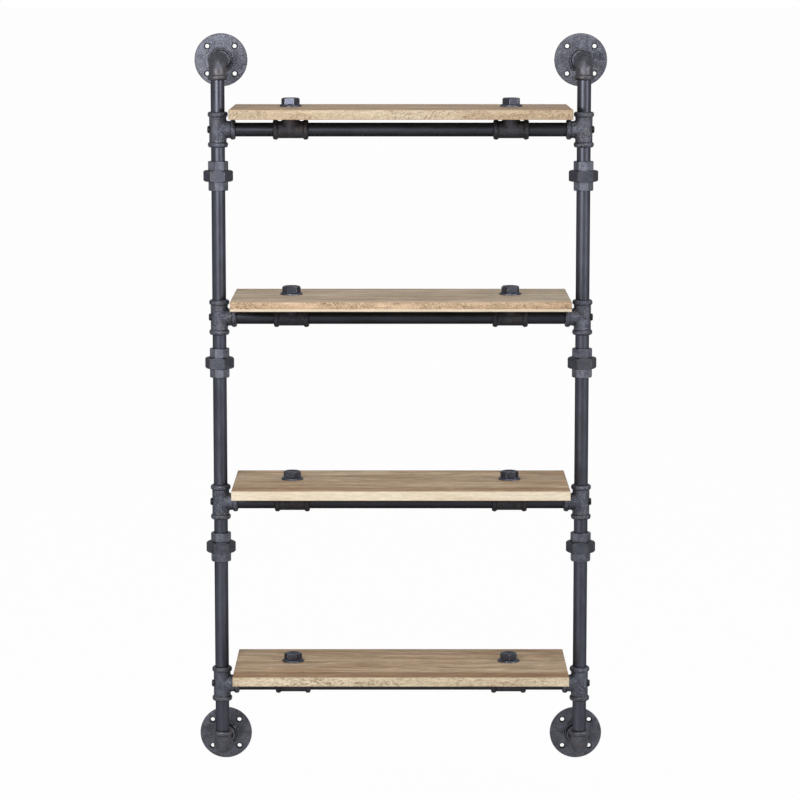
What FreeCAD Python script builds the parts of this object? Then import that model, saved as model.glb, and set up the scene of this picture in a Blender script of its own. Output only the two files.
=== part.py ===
import FreeCAD, Part
import math
import os

# A wall-hung shelving unit: wooden boards on a ladder of threaded pipe and cast fittings.
# Sizes are in millimetres. The origin is on the wall, midway between the wall flanges,
# with the front facing -Y and +Z up.

# Layout
shelf_count = 4
shelf_pitch = 287.5  # from one rail's axis to the next
upright_spacing = 558.0  # between the axes of the two uprights
standoff = 100.0  # from the wall to the axes of the uprights
end_reach = 103.0  # from the last rail's axis to the elbow's axis
tee_inset = 111.0  # from an upright's axis to the nearer shelf tee's axis

# Pipe, and how it enters a fitting
pipe_od = 21.3
pipe_wall = 2.6
thread_gap = 0.1  # between a male thread and its socket, on the radius
thread_engagement = 13.0

# Cast tees and elbows
fitting_wall = 2.5
collar_rise = 2.2  # how far the collar at each mouth stands out from the body
collar_length = 6.5
collar_bevel = 1.5
tee_reach = 27.0  # from the centre to each mouth
elbow_reach = 28.0
elbow_bend = 14.0  # radius of the bend's centre line

# Unions: an upper half with a rim, a nut that hangs on the rim, and a threaded lower half
union_drop = 21.0  # bare nipple between a side tee and the union below it
union_sides = 8
union_wall = 4.0
union_flats_length = 14.0
nut_sides = 6
nut_height = 17.0
nut_wall = 1.9
nut_lip = 3.5
nut_slip = 0.3  # between the nut's lip and the upper half's corners
rim_catch = 1.2  # how far the rim reaches out behind the lip
rim_thickness = 3.5
bar_bevel = 0.9  # how far the corners of nuts, unions and plugs are turned down

# Wall flanges
hub_wall = 4.0
hub_height = 18.0  # from the wall
hub_root = 4.0  # the slope where the hub meets the plate
flange_margin = 26.25  # from the hub to the flange's edge
flange_thickness = 5.0
flange_edge_bevel = 1.0
screw_count = 4
screw_edge = 11.0  # from the flange's edge to a screw's axis
screw_radius = 3.3
countersink = 1.1

# Boards
board_depth = 200.0
board_thickness = 15.0
board_end_gap = 6.5  # from a board's end to the side tee's collar
rail_from_back = 87.0  # from a board's back edge to the rail's axis
board_edge = 0.8
tee_recess = 7.0  # how deep a shelf tee's mouth sits in the board
recess_gap = 0.5  # around the mouth in its recess
plug_hole_gap = 0.6

# Plugs that hold the boards down
plug_cover = 5.7  # how far the plug's flange reaches past its hole
plug_flange = 3.4
plug_flange_edge = 1.4  # its thickness at the rim
plug_sides = 6
plug_wall = 1.6  # from the thread to the flats of the head
plug_head = 10.0

# Bolts through the side tees into the rails
bolt_radius = 3.0
bolt_gap = 0.1
bolt_head_radius = 5.5
bolt_head = 3.3
bolt_head_bevel = 1.0
bolt_seat = 0.5  # depth of the flat under the bolt's head
bolt_seat_gap = 0.3
bolt_key_sides = 6
bolt_key = 4.0  # across the flats of the socket in its head
bolt_key_depth = 1.8
bolt_grip = 10.0  # length of thread in the rail's closed end

# Worked out from the sizes above
pipe_radius = pipe_od / 2
bore_radius = pipe_radius - pipe_wall
socket_radius = pipe_radius + thread_gap
body_radius = socket_radius + fitting_wall
collar_radius = body_radius + collar_rise
hub_radius = socket_radius + hub_wall
flange_radius = hub_radius + flange_margin
union_half_flats = socket_radius + union_wall
union_corner = union_half_flats / math.cos(math.pi / union_sides)
lip_radius = union_corner + nut_slip
rim_radius = lip_radius + rim_catch
union_thread_radius = rim_radius + nut_slip - thread_gap
nut_bore_radius = union_thread_radius + thread_gap
nut_half_flats = nut_bore_radius + nut_wall
union_length = nut_height + 2 * union_flats_length
plug_hole_radius = pipe_radius + plug_hole_gap
plug_flange_radius = plug_hole_radius + plug_cover
plug_half_flats = pipe_radius + plug_wall
bolt_seat_at = body_radius - bolt_seat  # from the side tee's axis

upright_x = upright_spacing / 2
shelf_tee_x = upright_x - tee_inset
board_length = upright_spacing - 2 * (collar_radius + board_end_gap)
board_rise = tee_reach - tee_recess  # from a rail's axis to the board's underside
rail_heights = [((shelf_count - 1) / 2 - i) * shelf_pitch for i in range(shelf_count)]
elbow_heights = [rail_heights[0] + end_reach, rail_heights[-1] - end_reach]

pipe_in_tee = tee_reach - thread_engagement  # from the centre of a tee to a pipe's end
pipe_in_elbow = elbow_reach - thread_engagement
nut_foot = rim_thickness + nut_lip - nut_height  # of the nut, above the rim's seat
union_top = -tee_reach - union_drop  # of a union's upper mouth, above its side tee's axis
union_seat = union_top - union_flats_length - nut_lip - rim_thickness
union_bottom = union_top - union_length

up = FreeCAD.Vector(0, 0, 1)
right = FreeCAD.Vector(1, 0, 0)
back = FreeCAD.Vector(0, 1, 0)


def point(x, y, z):
    return FreeCAD.Vector(x, y, z)


def turned(outline):
    # A solid of revolution about Z from points of (radius, height).
    corners = [point(r, 0, z) for r, z in outline]
    face = Part.Face(Part.makePolygon(corners + corners[:1]))
    return face.revolve(point(0, 0, 0), up, 360)


def placed(shape, at, direction=up):
    # A copy of a shape made along +Z from the origin, turned to a direction and moved.
    copy = shape.copy()
    turn = FreeCAD.Rotation(up, direction)
    copy.Placement = FreeCAD.Placement(at, turn).multiply(shape.Placement)
    return copy


def rod(radius, start, end):
    return Part.makeCylinder(radius, (end - start).Length, start, end - start)


def pipe(start, end):
    return rod(pipe_radius, start, end).cut(rod(bore_radius, start, end))


def flat_bar(sides, half_flats, height):
    # A bar of so many sides along +Z, with one of its flats facing the front.
    step = 2 * math.pi / sides
    corner = half_flats / math.cos(step / 2)
    angles = [step * (i + 0.5) for i in range(sides)]
    ring = [point(corner * math.sin(a), -corner * math.cos(a), 0) for a in angles]
    face = Part.Face(Part.makePolygon(ring + ring[:1]))
    return face.extrude(point(0, 0, height))


def bevelled_bar(sides, half_flats, height, both_ends=False):
    # Such a bar with its corners turned down at the top, or at both ends.
    corner = half_flats / math.cos(math.pi / sides)
    foot = corner - bar_bevel * math.sqrt(3) if both_ends else corner
    foot_rise = bar_bevel if both_ends else 0
    top = corner - bar_bevel * math.sqrt(3)
    outline = [(0, 0), (foot, 0)]
    if both_ends:
        outline.append((corner, foot_rise))
    outline += [(corner, height - bar_bevel), (top, height), (0, height)]
    return flat_bar(sides, half_flats, height).common(turned(outline))


def arm(reach):
    # The outside of a fitting from its centre to one mouth, with the mouth's collar.
    return turned(
        [
            (0, 0),
            (body_radius, 0),
            (body_radius, reach - collar_length),
            (collar_radius, reach - collar_length + collar_rise),
            (collar_radius, reach - collar_bevel),
            (collar_radius - collar_bevel, reach),
            (0, reach),
        ]
    )


def tee(branch):
    # A tee with its run along Z, or along X when the branch points up.
    run = right if branch == up else up
    centre = point(0, 0, 0)
    mouths = [run, -run, branch]
    outside = placed(arm(tee_reach), centre, mouths[0])
    for mouth in mouths[1:]:
        outside = outside.fuse(placed(arm(tee_reach), centre, mouth))
    inside = rod(socket_radius, run * -tee_reach, run * tee_reach)
    inside = inside.fuse(rod(socket_radius, centre, branch * tee_reach))
    return outside.cut(inside).removeSplitter()


def side_tee(side):
    # The branch points to the middle, and a bolt goes in through the outer wall.
    outward = right * side
    shape = tee(outward * -1)
    seat = rod(
        bolt_head_radius + bolt_seat_gap, outward * bolt_seat_at, outward * collar_radius
    )
    hole = rod(bolt_radius + bolt_gap, outward * 0, outward * collar_radius)
    return shape.cut(seat.fuse(hole))


def elbow(downward):
    # A quarter turn between two straight mouths. One mouth faces the wall and the other
    # faces down, or up on a bottom elbow. The pipes' ends stop at the turn.
    section = Part.Circle(point(0, elbow_bend, 0), back, body_radius)
    section = Part.Face(Part.Wire(section.toShape()))
    shape = section.revolve(point(0, elbow_bend, -elbow_bend), right, 90)
    straight = arm(elbow_reach).common(
        Part.makeCylinder(collar_radius, elbow_reach - elbow_bend, point(0, 0, elbow_bend))
    )
    mouths = [back, up * -1]
    for mouth in mouths:
        shape = shape.fuse(placed(straight, point(0, 0, 0), mouth))
    for mouth in mouths:
        shape = shape.cut(rod(socket_radius, mouth * pipe_in_elbow, mouth * elbow_reach))
    shape = shape.removeSplitter()
    if not downward:
        shape = shape.mirror(point(0, 0, 0), up)
    return shape


def wall_flange():
    # Made along +Z from the wall and turned to the front when it is placed.
    plate = turned(
        [
            (socket_radius, 0),
            (flange_radius, 0),
            (flange_radius, flange_thickness - flange_edge_bevel),
            (flange_radius - flange_edge_bevel, flange_thickness),
            (hub_radius + hub_root, flange_thickness),
            (hub_radius, flange_thickness + hub_root),
            (hub_radius, hub_height),
            (socket_radius, hub_height),
        ]
    )
    screw = turned(
        [
            (0, 0),
            (screw_radius, 0),
            (screw_radius, flange_thickness - countersink),
            (screw_radius + countersink, flange_thickness),
            (0, flange_thickness),
        ]
    )
    circle = flange_radius - screw_edge
    for i in range(screw_count):
        angle = 2 * math.pi * (i + 0.5) / screw_count
        at = point(circle * math.cos(angle), circle * math.sin(angle), 0)
        plate = plate.cut(placed(screw, at))
    return plate


def union_upper():
    # From the rim, which rests on the lower half at height 0, up to the mouth.
    # The nut's lip lies on the rim.
    mouth = rim_thickness + nut_lip + union_flats_length
    bar = bevelled_bar(union_sides, union_half_flats, mouth)
    rim = Part.makeCylinder(rim_radius, rim_thickness)
    bore = Part.makeCylinder(socket_radius, mouth)
    return bar.fuse(rim).cut(bore)


def union_nut():
    # Its lip hangs on the rim and its thread reaches down over the lower half.
    bar = bevelled_bar(nut_sides, nut_half_flats, nut_height, both_ends=True)
    opening = Part.makeCylinder(lip_radius, nut_height)
    bore = Part.makeCylinder(nut_bore_radius, nut_height - nut_lip)
    return placed(bar.cut(opening.fuse(bore)), point(0, 0, nut_foot))


def union_lower():
    # A round thread inside the nut, above a flat-sided end with the lower mouth.
    mouth = nut_foot - union_flats_length
    bar = bevelled_bar(union_sides, union_half_flats, union_flats_length)
    bar = placed(bar, point(0, 0, nut_foot), up * -1)
    thread = Part.makeCylinder(union_thread_radius, -nut_foot, point(0, 0, nut_foot))
    bore = Part.makeCylinder(socket_radius, -mouth, point(0, 0, mouth))
    return bar.fuse(thread).cut(bore)


def shelf_plug():
    # Its flange lies on the board at height 0 and its thread goes down into the shelf tee.
    thread_end = thread_engagement - tee_reach + board_rise + board_thickness
    body = turned(
        [
            (0, -thread_end),
            (pipe_radius, -thread_end),
            (pipe_radius, 0),
            (plug_flange_radius, 0),
            (plug_flange_radius, plug_flange_edge),
            (plug_half_flats, plug_flange),
            (0, plug_flange),
        ]
    )
    head = bevelled_bar(plug_sides, plug_half_flats, plug_flange + plug_head)
    return body.fuse(head)


def side_bolt():
    # Made along +Z from its seat: the head is above, the shank goes down through the tee.
    shank = bolt_seat_at + pipe_in_tee + bolt_grip
    body = turned(
        [
            (0, -shank),
            (bolt_radius, -shank),
            (bolt_radius, 0),
            (bolt_head_radius, 0),
            (bolt_head_radius, bolt_head - bolt_head_bevel),
            (bolt_head_radius - bolt_head_bevel, bolt_head),
            (0, bolt_head),
        ]
    )
    key = flat_bar(bolt_key_sides, bolt_key / 2, bolt_key_depth)
    return body.cut(placed(key, point(0, 0, bolt_head - bolt_key_depth)))


def board(height):
    # Its underside has a recess over each shelf tee, with the plug's hole through it.
    foot = height + board_rise
    corner = point(-board_length / 2, rail_from_back - board_depth - standoff, foot)
    shape = Part.makeBox(board_length, board_depth, board_thickness, corner)
    shape = shape.makeChamfer(board_edge, shape.Edges)
    for side in (-1, 1):
        under = point(side * shelf_tee_x, -standoff, foot)
        recess = rod(collar_radius + recess_gap, under, under + up * tee_recess)
        hole = rod(plug_hole_radius, under, under + up * board_thickness)
        shape = shape.cut(recess.fuse(hole))
    return shape


def rail(height):
    # Three lengths of pipe: one between the shelf tees, and one out to each side tee.
    # The outer ones are closed and tapped at the end where the side bolt holds them.
    axis = point(0, -standoff, height)
    inner = shelf_tee_x - pipe_in_tee
    lengths = [pipe(axis - right * inner, axis + right * inner)]
    for side in (-1, 1):
        outward = right * side
        start = axis + outward * (shelf_tee_x + pipe_in_tee)
        end = axis + outward * (upright_x - pipe_in_tee)
        closed_end = rod(bore_radius, end - outward * bolt_grip, end)
        tapped_hole = rod(bolt_radius + bolt_gap, end - outward * bolt_grip, end)
        lengths.append(pipe(start, end).fuse(closed_end).cut(tapped_hole).removeSplitter())
    return lengths


def upright(side):
    # The axis of one upright at a height.
    return lambda height: point(side * upright_x, -standoff, height)


def shelf_tee_axis(side):
    return lambda height: point(side * shelf_tee_x, -standoff, height)


def save(name, shapes):
    Part.makeCompound(shapes).exportStep("parts/" + name + ".step")


def save_shelves():
    for number, height in enumerate(rail_heights, start=1):
        save(f"board_{number}", [board(height)])
        save(f"rail_{number}", rail(height))


def save_side(name, side):
    # What hangs on one upright, and the tees and plugs that carry the boards on that side.
    at = upright(side)
    outward = right * side
    bolt_seats = [at(h) + outward * bolt_seat_at for h in rail_heights]
    save(f"side_tees_{name}", [placed(side_tee(side), at(h)) for h in rail_heights])
    save(f"side_bolts_{name}", [placed(side_bolt(), seat, outward) for seat in bolt_seats])

    tee_at = shelf_tee_axis(side)
    plug_feet = [tee_at(h + board_rise + board_thickness) for h in rail_heights]
    save(f"shelf_tees_{name}", [placed(tee(up), tee_at(h)) for h in rail_heights])
    save(f"shelf_plugs_{name}", [placed(shelf_plug(), foot) for foot in plug_feet])

    upper = rail_heights[:-1]
    seats = [at(h + union_seat) for h in upper]
    nipple_foot = union_top - thread_engagement
    pipe_top = union_bottom + thread_engagement
    save(f"union_upper_halves_{name}", [placed(union_upper(), seat) for seat in seats])
    save(f"union_nuts_{name}", [placed(union_nut(), seat) for seat in seats])
    save(f"union_lower_halves_{name}", [placed(union_lower(), seat) for seat in seats])
    save(f"short_nipples_{name}", [pipe(at(h - pipe_in_tee), at(h + nipple_foot)) for h in upper])
    bays = zip(upper, rail_heights[1:])
    save(
        f"upright_pipes_{name}",
        [pipe(at(h + pipe_top), at(below + pipe_in_tee)) for h, below in bays],
    )


def save_end(name, height, rail_height, way):
    # The elbows, nipples and flanges at the top (way 1) or the bottom (way -1).
    axes = [upright(side) for side in sides.values()]
    feet = [point(side * upright_x, 0, height) for side in sides.values()]
    nipple_start = rail_height + way * pipe_in_tee
    nipple_end = height - way * pipe_in_elbow
    save(f"elbows_{name}", [placed(elbow(way > 0), at(height)) for at in axes])
    save(f"{name}_nipples", [pipe(at(nipple_start), at(nipple_end)) for at in axes])
    save(f"wall_flanges_{name}", [placed(wall_flange(), foot, back * -1) for foot in feet])


def save_wall_nipples():
    nipple_back = back * -(hub_height - thread_engagement)
    nipple_front = back * -(standoff - pipe_in_elbow)
    feet = [point(side * upright_x, 0, h) for h in elbow_heights for side in sides.values()]
    save("wall_nipples", [pipe(foot + nipple_back, foot + nipple_front) for foot in feet])


sides = {"left": -1, "right": 1}
os.makedirs("parts", exist_ok=True)
save_shelves()
for name, side in sides.items():
    save_side(name, side)
save_end("top", elbow_heights[0], rail_heights[0], 1)
save_end("bottom", elbow_heights[1], rail_heights[-1], -1)
save_wall_nipples()
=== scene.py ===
import math

import bmesh
import bpy
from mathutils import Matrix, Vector


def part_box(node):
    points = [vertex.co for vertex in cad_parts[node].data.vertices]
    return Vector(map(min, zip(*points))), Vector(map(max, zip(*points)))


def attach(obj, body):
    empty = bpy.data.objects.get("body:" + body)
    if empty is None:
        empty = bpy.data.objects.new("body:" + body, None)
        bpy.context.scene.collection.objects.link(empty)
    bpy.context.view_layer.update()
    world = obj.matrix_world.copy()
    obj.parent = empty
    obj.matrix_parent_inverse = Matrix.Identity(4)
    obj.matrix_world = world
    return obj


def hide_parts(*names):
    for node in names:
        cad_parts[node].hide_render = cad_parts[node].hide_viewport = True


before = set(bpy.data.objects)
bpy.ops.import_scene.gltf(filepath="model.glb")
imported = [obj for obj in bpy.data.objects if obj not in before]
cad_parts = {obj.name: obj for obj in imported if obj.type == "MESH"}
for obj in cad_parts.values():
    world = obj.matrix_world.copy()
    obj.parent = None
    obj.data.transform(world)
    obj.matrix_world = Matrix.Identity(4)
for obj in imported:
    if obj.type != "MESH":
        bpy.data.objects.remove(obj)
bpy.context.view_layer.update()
print("frame loaded, %d nodes" % len(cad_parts))

mm = 0.001
sides = {"left": -1, "right": 1}
shelves = range(1, 5)  # numbered from the top


def nodeCentre(node):
    low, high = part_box(node)
    return (low + high) / 2


railHeights = [nodeCentre("rail_%d" % number).z for number in shelves]
standoff = -nodeCentre("rail_1").y
uprightX = nodeCentre("upright_pipes_right").x
shelfTeeX = nodeCentre("shelf_tees_right").x
endHeight = nodeCentre("wall_flanges_top").z

shot = {
    "focal": 3108.0,  # in pixels of the frame's width
    "frameWidth": 800, "sensor": 36, "farClip": 300,
    "place": (-0.0013, -4.85, 0.672),
    "down": 7.875,  # degrees below level
}

bpy.ops.object.camera_add(location=shot["place"], rotation=(math.radians(90 - shot["down"]), 0, 0))
camera = bpy.context.object
camera.name = "shelfCamera"
camera.data.sensor_width = shot["sensor"]
camera.data.lens = shot["focal"] * shot["sensor"] / shot["frameWidth"]
camera.data.clip_end = shot["farClip"]
bpy.context.scene.camera = camera
bpy.context.scene.view_settings.view_transform = "Standard"

lamps = {
    "keyLamp": {"place": (-0.742, -1.926, 0.55), "size": (0.94, 0.16), "power": 23, "aimHeight": 0.55},
    "fillLamp": {"place": (4.5, -3.73, 1.15), "size": (1.5, 0.16), "power": 125, "aimHeight": 1.15},
    "lowLamp": {"place": (-0.985, -1.77, -0.575), "size": (1.5, 0.25), "power": 2.8, "aimHeight": -0.575},
    "topLamp": {"place": (0.0, -2.3, 2.4), "size": (2.4, 1.2), "power": 37, "aimHeight": 0},
}
aimDepth = -0.1  # every lamp points at the uprights' plane, midway between them

for lampName, lamp in lamps.items():
    away = Vector((0, aimDepth, lamp["aimHeight"])) - Vector(lamp["place"])
    turn = away.to_track_quat("-Z", "Y").to_euler()
    bpy.ops.object.light_add(type="AREA", location=lamp["place"], rotation=turn)
    made = bpy.context.object
    made.name = lampName
    made.visible_camera = False
    made.data.shape = "RECTANGLE"
    made.data.size, made.data.size_y = lamp["size"]
    made.data.energy = lamp["power"]


def addNode(tree, kind, inputs=None, **settings):
    # inputs holds plain values, or sockets to link from
    made = tree.nodes.new(kind)
    for key, value in settings.items():
        setattr(made, key, value)
    for key, value in (inputs or {}).items():
        if isinstance(value, bpy.types.NodeSocket):
            tree.links.new(value, made.inputs[key])
        else:
            made.inputs[key].default_value = value
    return made


def maths(tree, operation, first, second=0.0):
    return addNode(tree, "ShaderNodeMath", {0: first, 1: second}, operation=operation).outputs[0]


def times(tree, first, second):
    return maths(tree, "MULTIPLY", first, second)


def mixColours(tree, factor, first, second, blend="MIX"):
    inputs = {0: factor, 6: first, 7: second}
    made = addNode(tree, "ShaderNodeMix", inputs, data_type="RGBA", blend_type=blend)
    return made.outputs[2]


def tinted(tree, colour, tone):
    return mixColours(tree, 1.0, colour, tone, "MULTIPLY")


def overlay(tree, colour, mask, share, other):
    # Lays another colour over this one, as strongly as mask times share
    return mixColours(tree, times(tree, mask, share), colour, other)


def mixValues(tree, factor, first, second):
    made = addNode(tree, "ShaderNodeMix", {0: factor, 2: first, 3: second}, data_type="FLOAT")
    return made.outputs[0]


def remap(tree, value, low, high, toLow=0.0, toHigh=1.0):
    # Eases from toLow at low to toHigh at high
    inputs = {0: value, 1: low, 2: high, 3: toLow, 4: toHigh}
    return addNode(tree, "ShaderNodeMapRange", inputs, interpolation_type="SMOOTHSTEP").outputs[0]


def edgeAt(place, blur):
    # For remap: 1 below the place and 0 above it, eased over the blur
    return place + blur, place - blur


def partsOf(tree, vector):
    return addNode(tree, "ShaderNodeSeparateXYZ", {0: vector}).outputs


def stretched(tree, vector, scale, turn=(0, 0, 0), shift=(0, 0, 0)):
    inputs = {"Vector": vector, "Location": shift, "Rotation": turn, "Scale": scale}
    return addNode(tree, "ShaderNodeMapping", inputs).outputs[0]


def noise(tree, vector, scale, detail=3.0, rough=0.55, bend=0.0):
    inputs = {"Vector": vector, "Scale": scale, "Detail": detail, "Roughness": rough, "Distortion": bend}
    return addNode(tree, "ShaderNodeTexNoise", inputs).outputs[0]


def stretchedNoise(tree, vector, scale, **settings):
    return noise(tree, stretched(tree, vector, scale), 1.0, **settings)


middle = (0.3, 0.7)  # where nearly all of a noise texture's values lie


def objectPlace(tree):
    return addNode(tree, "ShaderNodeTexCoord").outputs["Object"]


def seenRays(tree):
    # 1 for camera, mirror and see-through rays, 0 for the rays that only carry light
    paths = addNode(tree, "ShaderNodeLightPath")
    seen = maths(tree, "MAXIMUM", paths.outputs["Is Camera Ray"], paths.outputs["Is Glossy Ray"])
    return maths(tree, "MAXIMUM", seen, paths.outputs["Is Transmission Ray"])


def startMaterial(name):
    made = bpy.data.materials.new(name)
    made.use_nodes = True
    made.node_tree.nodes.clear()
    return made, made.node_tree


def endMaterial(tree, shader):
    addNode(tree, "ShaderNodeOutputMaterial", {"Surface": shader.outputs[0]})


studio = {
    "ambient": 0.22, "floorHeight": -0.78, "floorSize": 240,
    "floorWhite": 0.98, "floorColour": 0.9,  # how far the floor is seen as plain white, and its own tone
}

world = bpy.data.worlds.new("studioWorld")
bpy.context.scene.world = world
world.use_nodes = True
worldTree = world.node_tree
worldTree.nodes.clear()
level = mixValues(worldTree, seenRays(worldTree), studio["ambient"], 1.0)
worldLight = addNode(worldTree, "ShaderNodeBackground", {"Color": (1, 1, 1, 1), "Strength": level})
addNode(worldTree, "ShaderNodeOutputWorld", {"Surface": worldLight.outputs[0]})

bpy.ops.mesh.primitive_plane_add(size=studio["floorSize"], location=(0, 0, studio["floorHeight"]))
floor = bpy.context.object
floor.name = "studioFloor"
floorMaterial, floorTree = startMaterial("paleFloor")
pale = (studio["floorColour"],) * 3 + (1,)
matt = addNode(floorTree, "ShaderNodeBsdfDiffuse", {"Color": pale})
white = addNode(floorTree, "ShaderNodeEmission", {"Color": (1, 1, 1, 1), "Strength": 1.0})
share = times(floorTree, seenRays(floorTree), studio["floorWhite"])
both = addNode(floorTree, "ShaderNodeMixShader", {0: share, 1: matt.outputs[0], 2: white.outputs[0]})
endMaterial(floorTree, both)
floor.data.materials.append(floorMaterial)
print("camera, lamps and floor made")


def pick(piece):
    bpy.ops.object.select_all(action="DESELECT")
    piece.select_set(True)
    bpy.context.view_layer.objects.active = piece


def openMesh(piece):
    pick(piece)
    bpy.ops.object.mode_set(mode="EDIT")
    bpy.ops.mesh.select_mode(type="VERT")
    bpy.ops.mesh.select_all(action="DESELECT")


def closeMesh():
    bpy.ops.object.mode_set(mode="OBJECT")


def fixInMesh(piece):
    pick(piece)
    bpy.ops.object.transform_apply(location=True, rotation=True, scale=True)


def useModifier(piece, kind, **settings):
    pick(piece)
    modifier = piece.modifiers.new(kind.lower(), kind)
    for key, value in settings.items():
        setattr(modifier, key, value)
    bpy.ops.object.modifier_apply(modifier=modifier.name)


def combine(piece, tool, operation):
    useModifier(piece, "BOOLEAN", operation=operation, solver="EXACT", object=tool)
    bpy.data.objects.remove(tool, do_unlink=True)


def startRing(name, point, segments):
    # A selected ring in edit mode, at a point of (radius, height) along +Z, in millimetres
    radius, height = point
    bpy.ops.mesh.primitive_circle_add(vertices=segments, radius=radius * mm, location=(0, 0, height * mm))
    piece = bpy.context.object
    piece.name = name
    fixInMesh(piece)
    bpy.ops.object.mode_set(mode="EDIT")
    bpy.ops.mesh.select_all(action="SELECT")
    return piece


def drawRings(outline, along=2):
    # Draws the selected ring out and resizes it from point to point, along Z or along Y
    radius, height = outline[0]
    for nextRadius, nextHeight in outline[1:]:
        rise, scale, centre = [0, 0, 0], [nextRadius / radius] * 3, [0, 0, 0]
        rise[along] = (nextHeight - height) * mm
        scale[along] = 1
        centre[along] = nextHeight * mm
        bpy.ops.mesh.extrude_region_move(TRANSFORM_OT_translate={"value": rise})
        bpy.ops.transform.resize(value=scale, center_override=centre)
        radius, height = nextRadius, nextHeight


mergeGap = 0.00001


def finishShell():
    bpy.ops.mesh.select_all(action="SELECT")
    bpy.ops.mesh.remove_doubles(threshold=mergeGap)
    bpy.ops.mesh.fill_holes(sides=0)
    bpy.ops.mesh.normals_make_consistent(inside=False)
    closeMesh()


def turnOutline(name, outline, segments=64):
    # A round piece, as a lathe would turn it
    piece = startRing(name, outline[0], segments)
    drawRings(outline)
    finishShell()
    return piece


def roundBar(name, radius, low, high, segments=64):
    return turnOutline(name, [(radius, low), (radius, high)], segments)


def movePiece(piece, place, turn=(0, 0, 0)):
    piece.location = place
    piece.rotation_euler = [math.radians(angle) for angle in turn]
    fixInMesh(piece)


def turnPiece(piece, *turn):
    movePiece(piece, (0, 0, 0), turn)
    return piece


def copyPiece(master, name, place, turn):
    made = master.copy()
    made.data = master.data.copy()
    made.name = name
    bpy.context.collection.objects.link(made)
    movePiece(made, place, turn)
    return made


def joinPieces(name, pieces):
    joined = pieces[0]
    pick(joined)
    for piece in pieces:
        piece.select_set(True)
    bpy.ops.object.join()
    joined.name = name
    joined.data.name = name
    return joined


def smoothFaces(piece, angle=35):
    pick(piece)
    bpy.ops.object.shade_smooth_by_angle(angle=math.radians(angle))


chamferCut = {"slope": 1.75, "clearance": 0.02, "segments": 96}


def flatBar(name, sideCount, halfFlats, length, chamfer, bothEnds=False):
    # A bar of so many sides from height 0 up, a flat to the front, its corners turned down at the top
    corner = halfFlats / math.cos(math.pi / sideCount)
    place, turn = (0, 0, length / 2 * mm), (0, 0, math.pi / sideCount)
    bpy.ops.mesh.primitive_cylinder_add(vertices=sideCount, radius=corner * mm, depth=length * mm,
                                        location=place, rotation=turn)
    piece = bpy.context.object
    piece.name = name
    fixInMesh(piece)
    outside, start = corner + chamferCut["clearance"], corner - chamferCut["slope"] * chamfer
    outline = [(outside, length - chamfer), (start, length)]
    foot = [(start, 0), (outside, chamfer)] if bothEnds else [(outside, -1)]
    combine(piece, turnOutline("chamferTool", foot + outline, chamferCut["segments"]), "INTERSECT")
    return piece


def finishMaster(piece, width, segments=2):
    # Breaks the edges, then evens out the shading of the flats
    useModifier(piece, "BEVEL", width=width * mm, segments=segments, limit_method="ANGLE",
                angle_limit=math.radians(30))
    smoothFaces(piece)
    useModifier(piece, "WEIGHTED_NORMAL", keep_sharp=True)


def declare(piece, material, node):
    piece.data.materials.clear()
    piece.data.materials.append(material)
    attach(piece, "root")
    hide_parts(node)


def placeSet(name, node, which, master, spots, material):
    # spots is a list of (place, turn), and which is the side or the end that both names close with
    name += which.capitalize()
    copies = [copyPiece(master, name, place, turn) for place, turn in spots]
    declare(joinPieces(name, copies), material, node + which)


def atUprights(y, height, other):
    # The same spot on the left and on the right, with its turn or its length
    return [((side * uprightX, y, height), other) for side in sides.values()]


def atShelves(x, turn):
    return [((x, -standoff, height), turn) for height in railHeights]


def startGroup(name, inputs, outputs):
    # Place is a vector, and every other socket is a plain number
    group = bpy.data.node_groups.new(name, "ShaderNodeTree")
    for title in inputs:
        kind = "NodeSocketVector" if title == "Place" else "NodeSocketFloat"
        group.interface.new_socket(name=title, in_out="INPUT", socket_type=kind)
    for title in outputs:
        group.interface.new_socket(name=title, in_out="OUTPUT", socket_type="NodeSocketFloat")
    return group, addNode(group, "NodeGroupInput").outputs, addNode(group, "NodeGroupOutput").inputs


def fillGroup(group, out, **results):
    for title, value in results.items():
        group.links.new(value, out[title])
    return group


def useGroup(tree, group, **inputs):
    return addNode(tree, "ShaderNodeGroup", inputs, node_tree=group).outputs


castSkin = {
    "lumpScale": 210.0, "pitScale": 520.0, "pitEdge": (0.05, 0.28), "mottleScale": 75.0, "gritFrom": 0.35,
}


def makeCastGrain():
    # Sand-cast skin: fine grain, low lumps and small pits
    inputs = ("Place", "Grain", "Lumps", "Pits")
    group, given, out = startGroup("castGrain", inputs, ("Height", "Mottle"))
    place = given["Place"]
    grain = noise(group, place, given["Grain"], detail=4.0, rough=0.65)
    lumps = noise(group, place, castSkin["lumpScale"], detail=2.0, rough=0.5, bend=0.4)
    cells = addNode(group, "ShaderNodeTexVoronoi", {"Vector": place, "Scale": castSkin["pitScale"]})
    pits = remap(group, cells.outputs[0], *castSkin["pitEdge"], 1.0, 0.0)
    height = maths(group, "ADD", grain, times(group, lumps, given["Lumps"]))
    height = maths(group, "SUBTRACT", height, times(group, pits, given["Pits"]))
    mottle = noise(group, place, castSkin["mottleScale"], detail=4.0, rough=0.6, bend=0.6)
    return fillGroup(group, out, Height=height, Mottle=mottle)


rubbingAndGlint = {"samples": 4, "bend": (0.995, 0.86), "patches": (0.38, 0.62)}


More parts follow.
